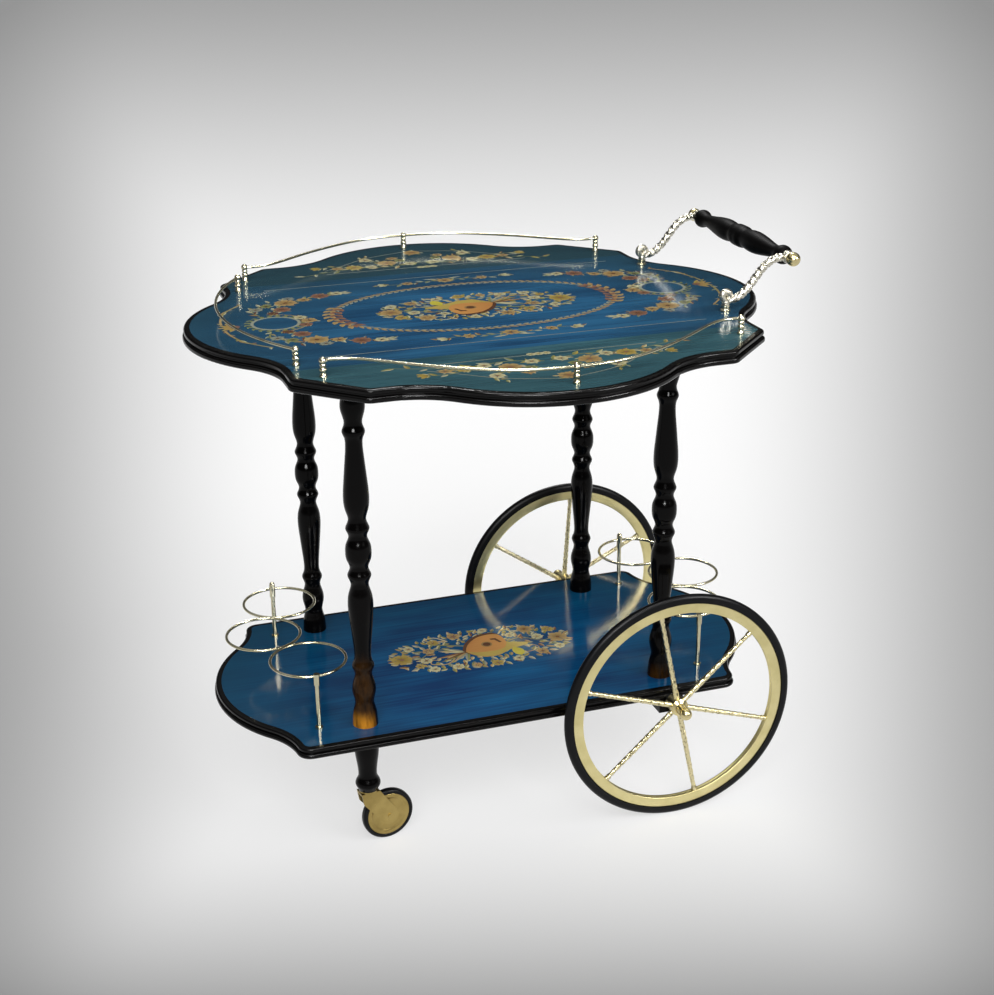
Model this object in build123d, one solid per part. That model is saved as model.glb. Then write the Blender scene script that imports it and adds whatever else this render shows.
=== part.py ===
"""Drop-leaf serving cart: a lobed tray with two leaves over a shelf, on two big wheels and two casters."""

import os
from math import asin, cos, degrees, radians, sin, sqrt

from build123d import *

# Driving sizes in millimetres. X runs along the cart towards its handle, the floor is Z = 0.
wheel_dia = 340.0
wheel_track = 450.7
top_height = 708.0
panel_t = 16.5
shelf_t = 15.0
lobe_r = 195.0
lobe_turn = 45.0
cove_r = 100.0
end_lobe_x = 204.0
joint_y = 211.0
ear = 31.4
lip_w = 10.0
corner_r = 16.0
shelf_turn = 42.0
shelf_corner_r = 20.0
leg_x = 216.5
leg_y = 155.0
caster_dia = 74.6
caster_trail = 27.0
caster_turn = 9.0
rail_rise = 20.5
rail_r = 1.9
ring_r = 51.3
wire_r = 2.0
ring_rise = 78.5
grip_rise = 66.0
grip_reach = 90.5
grip_half = 125.5
grip_r = 15.6

# Clearances
axle_drop = 1.0
hand_inset = 9.6
joint_gap = 0.8
run_fit = 0.05
side_gap = 0.3

# Levels and lines that follow from the sizes above
top_under = top_height - panel_t
axle_z = wheel_dia / 2
shelf_under = axle_z + axle_drop
shelf_height = shelf_under + shelf_t
axle_x = leg_x - 1.9
wheel_y = wheel_track / 2
shelf_lobe_x = end_lobe_x - 6.0
shelf_half = joint_y - 8.0
cove_reach = (lobe_r + cove_r) * cos(radians(lobe_turn))
side_x = end_lobe_x + cove_reach - cove_r
flat_y = joint_y + cove_reach - cove_r
rail_z = top_height + rail_rise
hand_x = side_x - hand_inset
grip_x = hand_x + grip_reach
grip_z = top_height + grip_rise

# The handle overhangs one end, so everything moves a little to centre the whole box on the origin.
shift_x = -(grip_x + grip_r - end_lobe_x - lobe_r) / 2


def save(name, *solids):
    """Write one named piece, or several alike as separate solids under one name."""
    moved = [Pos(shift_x, 0, 0) * solid for solid in solids]
    shape = moved[0] if len(moved) == 1 else Compound(children=moved)
    export_step(shape, "parts/" + name + ".step")


def across(solids):
    """The same solids on the other side of the cart."""
    return [mirror(solid, Plane.XZ) for solid in solids]


def polar(cx, cy, radius, angle):
    """Point at an angle in degrees on a circle."""
    return (cx + radius * cos(radians(angle)), cy + radius * sin(radians(angle)))


def flip(points, sx, sy):
    """Mirror a run of points across either middle line, in reverse order."""
    return [(sx * x, sy * y) for x, y in reversed(points)]


def arcs(points):
    """Chain of three-point arcs: every second point is the middle of an arc."""
    return [ThreePointArc(*points[i : i + 3]) for i in range(0, len(points) - 2, 2)]


def eased(face, radius, on_corner):
    """Face with its outward corners rounded."""
    return fillet(face.vertices().filter_by(on_corner), radius)


def bowed_face(lobe_x, bow_turn, side, inset):
    """Board with straight long sides and an ogee bow at each end, offset inward by an inset."""
    r_lobe = lobe_r - inset
    r_cove = cove_r + inset
    cx, cy = polar(lobe_x, 0, lobe_r + cove_r, bow_turn)
    rise = degrees(asin((side - cy) / r_cove))
    start = polar(cx, cy, r_cove, 180 - rise)
    middle = polar(cx, cy, r_cove, 180 + (bow_turn - rise) / 2)
    turn = polar(lobe_x, 0, r_lobe, bow_turn)
    tip = (lobe_x + r_lobe, 0)
    right = [start, middle, turn, tip] + flip([start, middle, turn], 1, -1)
    left = flip(right, -1, 1)
    edges = arcs(right) + [Line(right[-1], left[0])] + arcs(left) + [Line(left[-1], right[0])]
    return Face(Wire(edges))


def tray_face(inset):
    """Middle board of the tray: its two leaf joints stay put whatever the inset."""
    return bowed_face(end_lobe_x, lobe_turn, joint_y, inset)


def shelf_face(inset):
    """Lower shelf, inset all round, with a shallower ogee and eased corners."""
    side = shelf_half - inset
    face = bowed_face(shelf_lobe_x, shelf_turn, side, inset)
    return eased(face, shelf_corner_r - inset, lambda v: abs(abs(v.Y) - side) < 0.01)


def leaf_face(inset):
    """Leaf on the far side: a lobe between two coves and two cut corners, open at the joint."""
    r_lobe = lobe_r - inset
    r_cove = cove_r + inset
    start_y = joint_y + joint_gap
    x_side = side_x - inset
    y_flat = flat_y - inset
    diagonal = side_x + joint_y + ear - inset * sqrt(2)
    cx, cy = cove_reach, joint_y + cove_reach
    flat = (cx, y_flat)
    middle = polar(cx, cy, r_cove, 270 - lobe_turn / 2)
    turn = polar(0, joint_y, r_lobe, 90 - lobe_turn)
    tip = (0, joint_y + r_lobe)
    right = [flat, middle, turn, tip] + flip([flat, middle, turn], -1, 1)
    corner = [(x_side, start_y), (x_side, diagonal - x_side), (diagonal - y_flat, y_flat), flat]
    outer = [Line(corner[i], corner[i + 1]) for i in range(3)]
    other = flip(corner, -1, 1)
    far = [Line(other[i], other[i + 1]) for i in range(3)]
    face = Face(Wire(outer + arcs(right) + far + [Line(other[-1], corner[0])]))
    return eased(face, corner_r - inset, lambda v: abs(abs(v.X) + v.Y - diagonal) < 0.01)


def slab_of(face, low, high):
    """Flat plate between two levels."""
    return Pos(0, 0, low) * extrude(face, high - low, dir=(0, 0, 1))


def rounded_slab(face, low, high, radius_low, radius_high, square):
    """Plate between two levels with rounded rims; edges that the test calls square stay sharp."""
    slab = slab_of(face, low, high)
    for level, radius in ((low, radius_low), (high, radius_high)):
        if radius > 0:
            rim = slab.edges().filter_by(lambda e: abs(e.center().Z - level) < 0.01)
            rim = [e for e in rim if not square(e)]
            slab = fillet(rim, radius)
    return slab


def moulding(outline, low, height, square):
    """Edge moulding round a board: a wide lower bead, a neck and a narrower upper bead."""
    high = low + height
    bead = rounded_slab(outline(0), low, low + 0.46 * height, 3.2, 3.0, square)
    neck = rounded_slab(outline(4.2), low + 0.3 * height, high - 0.2 * height, 0, 0, square)
    upper = rounded_slab(outline(1.8), high - 0.4 * height, high, 2.0, 3.2, square)
    board = slab_of(outline(lip_w), low - 1, high + 1)
    return bead + neck + upper - board


def on_tray_joint(edge):
    """True for the straight edges of the middle board along its leaf joints."""
    return abs(abs(edge.center().Y) - joint_y) < 0.01


def on_leaf_joint(edge):
    """True for the leaf's straight edge along its joint."""
    return abs(edge.center().Y - joint_y - joint_gap) < 0.01


def nowhere(edge):
    """No edge stays sharp."""
    return False


def turned(stations, x, y):
    """Solid turned about an upright axis from (level, radius) stations, with flat ends."""
    points = [(radius, level) for level, radius in stations]
    curve = Spline(*points)
    low, high = points[0][1], points[-1][1]
    sides = [Line((0, low), points[0]), curve, Line(points[-1], (0, high)), Line((0, high), (0, low))]
    return Pos(x, y, 0) * revolve(Plane.XZ * Face(Wire(sides)), Axis.Z)


def rod(x, y, low, high, radius):
    """Upright round rod."""
    return Pos(x, y, (low + high) / 2) * Cylinder(radius, high - low)


def cross_rod(x, z, y_low, y_high, radius):
    """Round rod along Y."""
    length = y_high - y_low
    return Pos(x, (y_low + y_high) / 2, z) * Rot(90, 0, 0) * Cylinder(radius, length)


def spun(points, x, y, z):
    """Ring or wheel about an axis along Y from (distance along Y, radius) corners."""
    profile = [(radius, along) for along, radius in points]
    face = Face(Wire(Polyline(*profile, close=True).edges()))
    return Pos(x, y, z) * Rot(-90, 0, 0) * revolve(Plane.XZ * face, Axis.Z)


def tube(path, radius):
    """Round wire along a path."""
    return sweep(Plane(path @ 0, z_dir=path % 0) * Circle(radius), path=path)


os.makedirs("parts", exist_ok=True)
corners = [(-1, -1), (1, -1), (-1, 1), (1, 1)]

# Gallery rails: the leaf rails bow outward between end posts by the cut corners, the end rail bows
# round one end of the middle board.
side_inset = 40.6
joint_inset = 39.0
lobe_inset = 31.5
post_x = side_x - side_inset
post_y = joint_y + joint_inset
mid_y = joint_y + lobe_r - lobe_inset
rail_plan = ((1.0, 0.0), (0.9, 0.0), (0.8, 0.13), (0.66, 0.385), (0.45, 0.71), (0.27, 0.91), (0.0, 1.0))
rail_bow = mid_y - post_y
half_rail = [(post_x * u, post_y + rail_bow * w, rail_z) for u, w in rail_plan]
leaf_rail = tube(Spline(*half_rail, *[(-x, y, z) for x, y, z in reversed(half_rail[:-1])]), rail_r)
end_post_x = -(side_x - side_inset / 2)
end_post_y = joint_y - 19.0
end_bow_x = -(end_lobe_x + lobe_r - lobe_inset - 6.5)
ends = [(end_post_x, -end_post_y, rail_z), (end_bow_x, 0, rail_z), (end_post_x, end_post_y, rail_z)]
end_rail = tube(ThreePointArc(*ends), rail_r)


def gallery_post(x, y):
    """Small turned post: a flange, a stem with a bead and a ball round the rail, with a spigot below."""
    spigot = rod(x, y, top_height - 8, top_height, 1.5)
    flange = rod(x, y, top_height, top_height + 3.0, 4.8)
    bead = Pos(x, y, top_height + 0.45 * rail_rise) * Sphere(4.5)
    stem = rod(x, y, top_height, rail_z, 2.9)
    ball = Pos(x, y, rail_z) * Sphere(4.7)
    return spigot + flange + bead + stem + ball


def gallery_posts(places, rail):
    """Posts along one rail, each drilled for it."""
    return [gallery_post(x, y) - rail for x, y in places]


leaf_posts = gallery_posts([(-post_x, post_y), (0, mid_y), (post_x, post_y)], leaf_rail)
end_posts = gallery_posts([(end_post_x, -end_post_y), (end_post_x, end_post_y)], end_rail)
save("front_rail", mirror(leaf_rail, Plane.XZ))
save("back_rail", leaf_rail)
save("end_rail", end_rail)
save("front_rail_posts", *across(leaf_posts))
save("back_rail_posts", *leaf_posts)
save("end_rail_posts", *end_posts)

# Handle: two posts on the middle board, two S-shaped arms, a turned grip on a through rod, ball nuts.
arm_y = grip_half + 16.0
arm_r = 5.6
eye_half = arm_r + 0.4
post_top = top_height + 8.6
rod_r = 3.0
arm_base = post_top + arm_r + 1.4
arm_rise = grip_z - arm_base
sweep_up = [(0.0, 0.0), (0.1, 0.0), (0.22, 0.07), (0.36, 0.28), (0.49, 0.57)]
sweep_up += [(0.61, 0.82), (0.75, 0.98), (0.87, 1.02), (0.96, 1.01)]
arm_line = [(hand_x + u * grip_reach, arm_y, arm_base + w * arm_rise) for u, w in sweep_up]
arm_bar = tube(Spline(*arm_line), arm_r)
curl_r = 5.4
curl = Pos(hand_x, arm_y, arm_base + curl_r) * Rot(90, 0, 0) * Torus(curl_r, 0.85 * arm_r)
eye = cross_rod(grip_x, grip_z, arm_y - eye_half, arm_y + eye_half, 8.6)
seat = rod(hand_x, arm_y, post_top, arm_base + 2.0, 4.4)
grip_rod = cross_rod(grip_x, grip_z, -arm_y - 12.0, arm_y + 12.0, rod_r)
arm = arm_bar + curl + eye + seat - grip_rod
save("back_handle_arm", arm)
save("front_handle_arm", mirror(arm, Plane.XZ))
hand_posts = []
for side in (-1, 1):
    foot = rod(hand_x, side * arm_y, top_height, top_height + 2.5, 7.0)
    stem = rod(hand_x, side * arm_y, top_height + 2.5, post_top, 5.0)
    spigot = rod(hand_x, side * arm_y, top_height - 10, top_height, 2.5)
    hand_posts.append(foot + stem + spigot)
save("handle_posts", *hand_posts)
save("handle_rod", grip_rod)
nuts = []
nut_r = 9.6
nut_face = arm_y + eye_half
for side in (-1, 1):
    ball = Pos(grip_x, side * (nut_face + 0.8 * nut_r), grip_z) * Sphere(nut_r)
    outside = Pos(grip_x, side * (nut_face + 2 * nut_r), grip_z) * Box(4 * nut_r, 4 * nut_r, 4 * nut_r)
    nuts.append((ball & outside) - grip_rod)
save("handle_nuts", *nuts)
grip_ends = arm_y - eye_half
swell = [(0.0, 1.0), (0.08, 0.98), (0.14, 0.87), (0.19, 0.9), (0.28, 0.98), (0.4, 0.96), (0.56, 0.8)]
taper = [(0.74, 0.6), (0.81, 0.6), (0.87, 0.74), (0.92, 0.84), (0.97, 0.75), (1.0, 0.58)]
half_grip = [(u * grip_ends, r * grip_r) for u, r in swell + taper]
grip_line = [(r, -u) for u, r in reversed(half_grip[1:])] + [(r, u) for u, r in half_grip]
grip_edges = [Line((0, -grip_ends), grip_line[0]), Spline(*grip_line), Line(grip_line[-1], (0, grip_ends))]
grip_edges.append(Line((0, grip_ends), (0, -grip_ends)))
grip = revolve(Plane.XZ * Face(Wire(grip_edges)), Axis.Z)
save("handle_grip", Pos(grip_x, 0, grip_z) * Rot(-90, 0, 0) * grip - grip_rod)

# Legs: four alike, turned symmetrically above and below a middle bulb.
leg_middle = (top_under + shelf_height) / 2
leg_half = (top_under - shelf_height) / 2
leg_turning = (
    [(0.0, 17.3), (0.044, 15.9), (0.085, 12.3), (0.108, 13.6), (0.13, 15.7), (0.153, 13.8), (0.178, 11.9)]
    + [(0.23, 14.9), (0.287, 16.9), (0.395, 15.3), (0.495, 12.9), (0.585, 11.2), (0.625, 12.5), (0.653, 14.9)]
    + [(0.681, 12.7), (0.703, 11.7), (0.745, 14.2), (0.79, 16.1), (0.83, 14.6), (0.865, 12.9), (0.905, 14.8)]
    + [(0.94, 16.4), (0.97, 16.9), (1.0, 17.3)]
)
lower_half = [(leg_middle - u * leg_half, r) for u, r in reversed(leg_turning[1:])]
leg_stations = lower_half + [(leg_middle + u * leg_half, r) for u, r in leg_turning]
dowel_r = 6.0
dowels = []
for sx, sy in corners:
    dowels.append(rod(sx * leg_x, sy * leg_y, top_under - 30, top_under + 10, dowel_r))
    reach = shelf_under - 20 if sx < 0 else shelf_height - 9
    dowels.append(rod(sx * leg_x, sy * leg_y, reach, shelf_height + 30, dowel_r))
save("leg_dowels", *dowels)
leg = turned(leg_stations, 0, 0)
leg -= rod(0, 0, top_under - 30, top_under, dowel_r) + rod(0, 0, shelf_height, shelf_height + 30, dowel_r)
leg_names = ("front_left_leg", "front_right_leg", "back_left_leg", "back_right_leg")
for name, (sx, sy) in zip(leg_names, corners):
    save(name, Pos(sx * leg_x, sy * leg_y, 0) * leg)

# Casters under the left end: turned foot, socket, swivelling fork, pin, disc and tyre.
caster_r = caster_dia / 2
fork_top = caster_dia + 6.4
crown_low = caster_dia + 3.0
socket_low = fork_top + side_gap
foot_low = socket_low + 2.7
stem_r = 4.0
sleeve_r = 6.5
stem_top = foot_low + 22.0
sleeve_top = stem_top + 2.0
foot_drop = shelf_under - foot_low
foot_turning = [(0.0, 13.4), (0.04, 14.8), (0.11, 17.3), (0.18, 15.8), (0.24, 13.3), (0.31, 12.8)]
foot_upper = [(0.45, 13.9), (0.65, 16.3), (0.82, 17.0), (1.0, 16.8)]
foot_stations = [(foot_low + u * foot_drop, r) for u, r in foot_turning + foot_upper]
fork_half = 7.4
plate_t = 2.2
crown_half = 13.5
disc_r = caster_r - 6.0
pin_r = 3.0
socket_flange = rod(0, 0, socket_low, foot_low, 13.0)
socket = socket_flange + rod(0, 0, foot_low, sleeve_top, sleeve_r)
socket -= rod(0, 0, socket_low - 1, stem_top + side_gap, stem_r + run_fit)
foot = turned(foot_stations, 0, 0) - rod(0, 0, foot_low, sleeve_top, sleeve_r)
foot -= rod(0, 0, shelf_under - 20, shelf_under, dowel_r)
neck_low = fork_top - 17.0
quad = Polyline((-crown_half, fork_top), (crown_half, fork_top), (-crown_half + 3, neck_low), close=True)
boss = Pos(caster_trail, caster_r) * Circle(13.0)
cheek = make_hull(quad.edges() + boss.edges())
cheeks = []
for side in (-1, 1):
    start = fork_half if side > 0 else -fork_half - plate_t
    cheeks.append(Pos(0, start + plate_t, 0) * extrude(Plane.XZ * cheek, plate_t))
crown = Pos(0, 0, (fork_top + crown_low) / 2) * Box(2 * crown_half, 2 * fork_half, fork_top - crown_low)
caster_pin = cross_rod(caster_trail, caster_r, -fork_half - plate_t - 1.2, fork_half + plate_t + 1.2, pin_r)
fork = cheeks[0] + cheeks[1] + crown + rod(0, 0, crown_low, stem_top, stem_r) - caster_pin
hub_half = fork_half - 0.8
pin_bore = pin_r + run_fit
web_half = 3.6
lip_half = 5.2
lip_in = disc_r - 5.0
web = [(-web_half, lip_in - 0.5), (-lip_half, lip_in), (-lip_half, disc_r), (lip_half, disc_r)]
web += [(lip_half, lip_in), (web_half, lip_in - 0.5), (web_half, 9), (hub_half, 8), (hub_half, pin_bore)]
web += [(-hub_half, pin_bore), (-hub_half, 8), (-web_half, 9)]
caster_disc = spun(web, caster_trail, 0, caster_r)
tread_half = 5.6
tread = [(-tread_half, disc_r), (-tread_half, caster_r - 2.2), (2 - tread_half, caster_r)]
tread += [(tread_half - 2, caster_r), (tread_half, caster_r - 2.2), (tread_half, disc_r)]
caster_tyre = spun(tread, caster_trail, 0, caster_r)
sockets = []
for name, sy in (("front", -1), ("back", 1)):
    place = Pos(-leg_x, sy * leg_y, 0)
    swung = place * Rot(0, 0, caster_turn)
    sockets.append(place * socket)
    save(name + "_foot", place * foot)
    save(name + "_caster_fork", swung * fork)
    save(name + "_caster_pin", swung * caster_pin)
    save(name + "_caster_disc", swung * caster_disc)
    save(name + "_caster_tyre", swung * caster_tyre)
save("caster_sockets", *sockets)

# Big wheels on one fixed axle that lies half in the shelf's underside and half in two blocks.
tyre_t = 12.0
rim_t = 14.5
rim_r = wheel_dia / 2 - tyre_t
rim_in = rim_r - rim_t
rim_half = 4.6
tyre_half = 6.0
axle_r = 5.0
hub_r = 12.5
hub_in = 18.0
hub_out = 22.0
nose_r = 8.0
spoke_count = 6
block_half = 18.0
block_y = (shelf_half - 50.0, shelf_half)
washer_y = (shelf_half + 0.4, wheel_y - hub_in - side_gap)
cap_y = wheel_y + hub_out + side_gap
axle = cross_rod(axle_x, axle_z, -cap_y - 7.0, cap_y + 7.0, axle_r)
save("axle", axle)
spoke_low = hub_r - 4.0
spoke_high = rim_in + 4.0
spoke_bar = Cone(3.6, 2.8, spoke_high - spoke_low)
washers = []
caps = []
for name, sy, first in (("front", -1, 42.0), ("back", 1, 26.0)):
    y = sy * wheel_y
    flank = [(1.0, 0.0), (1.0, 0.5), (0.86, 0.77), (0.53, 0.95)]
    crown_line = flank + [(0.0, 1.0)] + [(-u, w) for u, w in reversed(flank)]
    tyre_line = [(u * tyre_half, rim_r + w * tyre_t) for u, w in crown_line]
    save(name + "_wheel_tyre", spun(tyre_line, axle_x, y, axle_z))
    rim_line = [(-rim_half, rim_in), (-rim_half, rim_r), (rim_half, rim_r), (rim_half, rim_in)]
    rim = spun(rim_line, axle_x, y, axle_z)
    spokes = []
    for i in range(spoke_count):
        turn = Rot(0, 90 - first - i * 360 / spoke_count, 0)
        spokes.append(Pos(axle_x, y, axle_z) * turn * Pos(0, 0, (spoke_low + spoke_high) / 2) * spoke_bar)
    bore = axle_r + run_fit
    barrel = [(-hub_in, bore), (-hub_in, hub_r - 2.5), (4 - hub_in, hub_r), (6, hub_r), (9, nose_r)]
    barrel += [(hub_out, nose_r), (hub_out, bore)]
    hub = spun([(sy * u, r) for u, r in barrel], axle_x, y, axle_z)
    for spoke in spokes:
        rim -= spoke
        hub -= spoke
    save(name + "_wheel_rim", rim)
    save(name + "_wheel_spokes", *spokes)
    save(name + "_wheel_hub", hub)
    low, high = sorted((sy * washer_y[0], sy * washer_y[1]))
    washers.append(cross_rod(axle_x, axle_z, low, high, 9.0) - axle)
    ball = Pos(axle_x, sy * (cap_y + 4.5), axle_z) * Sphere(8.2)
    outside = Pos(axle_x, sy * (cap_y + 15.0), axle_z) * Box(40, 30, 40)
    caps.append((ball & outside) - axle)
    block_mid = sy * (block_y[0] + block_y[1]) / 2
    block_h = shelf_under - axle_z + 20.0
    block = Pos(axle_x, block_mid, shelf_under - block_h / 2) * Box(2 * block_half, 50.0, block_h)
    save(name + "_axle_block", block - axle)
save("axle_washers", *washers)
save("axle_caps", *caps)

# Bottle holders: three tangent wire rings over each end of the shelf, carried by two posts.
ring_z = shelf_height + ring_rise
ring_x = leg_x + 62.5
ring_y = 97.0
braze = 0.8
centre_step = 2 * (ring_r + wire_r) - braze
ring_mid_x = ring_x + sqrt(centre_step**2 - ring_y**2)
holder_posts = []
for name, sx in (("left", -1), ("right", 1)):
    places = [(sx * ring_x, -ring_y), (sx * ring_mid_x, 0), (sx * ring_x, ring_y)]
    wires = [Pos(x, y, ring_z) * Torus(ring_r, wire_r) for x, y in places]
    rings = wires[0] + wires[1] + wires[2]
    for sy in (-1, 1):
        x, y = sx * ring_x, sy * (ring_y + ring_r)
        high = ring_z + 3.2 if sy < 0 else ring_z + 6.0
        post = rod(x, y, shelf_height - 8, shelf_height, 2.0) + rod(x, y, shelf_height, high, 3.1)
        post += rod(x, y, shelf_height, shelf_height + 3, 5.2) + rod(x, y, ring_z - 13, high, 4.2)
        if sy > 0:
            post += Pos(x, y, high + 1.0) * Sphere(4.0)
        holder_posts.append(post - rings)
    save(name + "_bottle_rings", rings)
save("bottle_posts", *holder_posts)

# Boards, drilled for every dowel and spigot that enters them.
tray = slab_of(tray_face(lip_w), top_under, top_height)
for piece in end_posts + hand_posts + dowels:
    tray -= piece
save("tray_panel", tray)
tray_edge = moulding(tray_face, top_under, panel_t, on_tray_joint)
tray_lips = tray_edge.solids().sort_by(Axis.X)
save("tray_lip_left", tray_lips[0])
save("tray_lip_right", tray_lips[-1])
leaf = slab_of(leaf_face(lip_w), top_under, top_height)
for piece in leaf_posts:
    leaf -= piece
leaf_edge = moulding(leaf_face, top_under, panel_t, on_leaf_joint)
save("back_leaf_panel", leaf)
save("back_leaf_lip", leaf_edge)
save("front_leaf_panel", mirror(leaf, Plane.XZ))
save("front_leaf_lip", mirror(leaf_edge, Plane.XZ))
shelf = slab_of(shelf_face(lip_w), shelf_under, shelf_height)
for piece in holder_posts + dowels + [axle]:
    shelf -= piece
save("shelf_panel", shelf)
save("shelf_lip", moulding(shelf_face, shelf_under, shelf_t, nowhere) - axle)

# Leaf hinges: two to a leaf, with the pin just under the boards so that the leaf drops square.
hinge_x = 150.0
knuckle_drop = 3.0
knuckle_r = 2.6
hinge_pin_r = 1.3
knuckle_w = 14.0
hinge_z = top_under - knuckle_drop
hinge_t = 2.0
near = knuckle_r + 0.7
plate_reach = 52.0
flap_reach = 88.0
plates = []
pins = []
flaps = []
for x in (-hinge_x, hinge_x):
    pin = Pos(x, joint_y, hinge_z) * Rot(0, 90, 0) * Cylinder(hinge_pin_r, 3 * knuckle_w)
    pins.append(pin)
    mid_plate_y = joint_y - (near + plate_reach) / 2
    plate = Pos(x, mid_plate_y, top_under - hinge_t / 2) * Box(3 * knuckle_w, plate_reach - near, hinge_t)
    for step in (-1, 1):
        spot = Pos(x + step * knuckle_w, joint_y, hinge_z)
        plate += spot * Rot(0, 90, 0) * Cylinder(knuckle_r, knuckle_w - side_gap)
        strap = Pos(0, -near / 2, knuckle_drop - 1.3) * Box(knuckle_w - side_gap, near + 0.4, 1.4)
        plate += spot * strap
    plates.append(plate - pin)
    mid_flap_y = joint_y + (near + flap_reach) / 2
    flap = Pos(x, mid_flap_y, top_under - hinge_t / 2) * Box(3 * knuckle_w, flap_reach - near, hinge_t)
    spot = Pos(x, joint_y, hinge_z)
    flap += spot * Rot(0, 90, 0) * Cylinder(knuckle_r, knuckle_w - side_gap)
    flap += spot * Pos(0, near / 2, knuckle_drop - 1.3) * Box(knuckle_w - side_gap, near + 0.4, 1.4)
    hole = Pos(x, joint_y, hinge_z) * Rot(0, 90, 0) * Cylinder(hinge_pin_r + run_fit, 3 * knuckle_w)
    flaps.append(flap - hole)
save("back_hinge_flaps", *flaps)
save("front_hinge_flaps", *across(flaps))
save("hinge_plates", *plates, *across(plates))
save("hinge_pins", *pins, *across(pins))
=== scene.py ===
"""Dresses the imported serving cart: inlaid blue boards, black turned wood, brass, wire and rubber."""

import math
import random

import bmesh
import bpy
from mathutils import Matrix, Vector


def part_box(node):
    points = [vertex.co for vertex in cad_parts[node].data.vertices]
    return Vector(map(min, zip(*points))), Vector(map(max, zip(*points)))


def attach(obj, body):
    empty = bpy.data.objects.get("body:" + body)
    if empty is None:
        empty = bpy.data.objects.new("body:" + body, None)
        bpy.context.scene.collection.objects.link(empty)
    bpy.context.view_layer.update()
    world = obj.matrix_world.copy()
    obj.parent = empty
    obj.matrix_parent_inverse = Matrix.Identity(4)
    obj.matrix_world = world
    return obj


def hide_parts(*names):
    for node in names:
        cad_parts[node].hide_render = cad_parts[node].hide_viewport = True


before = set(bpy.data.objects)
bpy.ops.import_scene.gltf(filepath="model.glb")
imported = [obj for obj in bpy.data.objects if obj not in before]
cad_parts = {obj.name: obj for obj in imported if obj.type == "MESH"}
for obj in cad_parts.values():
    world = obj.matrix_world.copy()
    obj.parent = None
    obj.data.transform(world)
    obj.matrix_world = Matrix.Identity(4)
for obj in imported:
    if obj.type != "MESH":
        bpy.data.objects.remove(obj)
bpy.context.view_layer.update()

# Tray, leaf and shelf boards: blockboard faced with poplar veneer that was dyed blue before it was
# laid, then flooded with clear polyester lacquer. The undersides are only stained.
mm = 0.001
mix_factor, mix_first, mix_second, mixed = 0, 6, 7, 2
tray_low, tray_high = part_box("tray_panel")
mid_x = (tray_low.x + tray_high.x) / 2
tray_top = tray_high.z
shelf_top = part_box("shelf_panel")[1].z
clear_lacquer = {"Specular IOR Level": 0.0, "Coat Weight": 1.0, "Coat Roughness": 0.12, "Coat IOR": 1.5}


def linear(code):
    """Linear colour of an sRGB hex value."""
    channels = [int(code[i : i + 2], 16) / 255 for i in (1, 3, 5)]
    return [c / 12.92 if c <= 0.04045 else ((c + 0.055) / 1.055) ** 2.4 for c in channels] + [1.0]


def put(tree, kind, inputs=None, **settings):
    """Add a node, set its properties, and set or link its inputs by name or number. A node given as an input
    stands for its first output."""
    node = tree.nodes.new(kind)
    for name, value in settings.items():
        setattr(node, name, value)
    for name, value in (inputs or {}).items():
        if isinstance(value, bpy.types.Node):
            value = value.outputs[0]
        if isinstance(value, bpy.types.NodeSocket):
            tree.links.new(value, node.inputs[name])
        else:
            node.inputs[name].default_value = value
    return node


def new_finish(name, settings):
    """Material with its shader's plain numbers set, its tree, its shader and the object's own coordinates."""
    material = bpy.data.materials.new(name)
    material.use_nodes = True
    tree = material.node_tree
    shader = tree.nodes["Principled BSDF"]
    for socket, value in settings.items():
        shader.inputs[socket].default_value = value
    place = put(tree, "ShaderNodeTexCoord").outputs["Object"]
    return material, tree, shader, place


def long_blots(tree, place, pitch, detail):
    """Soft blots drawn out along the axes, from the length of one blot on each."""
    stretch = put(tree, "ShaderNodeMapping", {"Vector": place, "Scale": [1 / length for length in pitch]})
    return put(tree, "ShaderNodeTexNoise", {"Vector": stretch, "Scale": 1.0, "Detail": detail})


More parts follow.
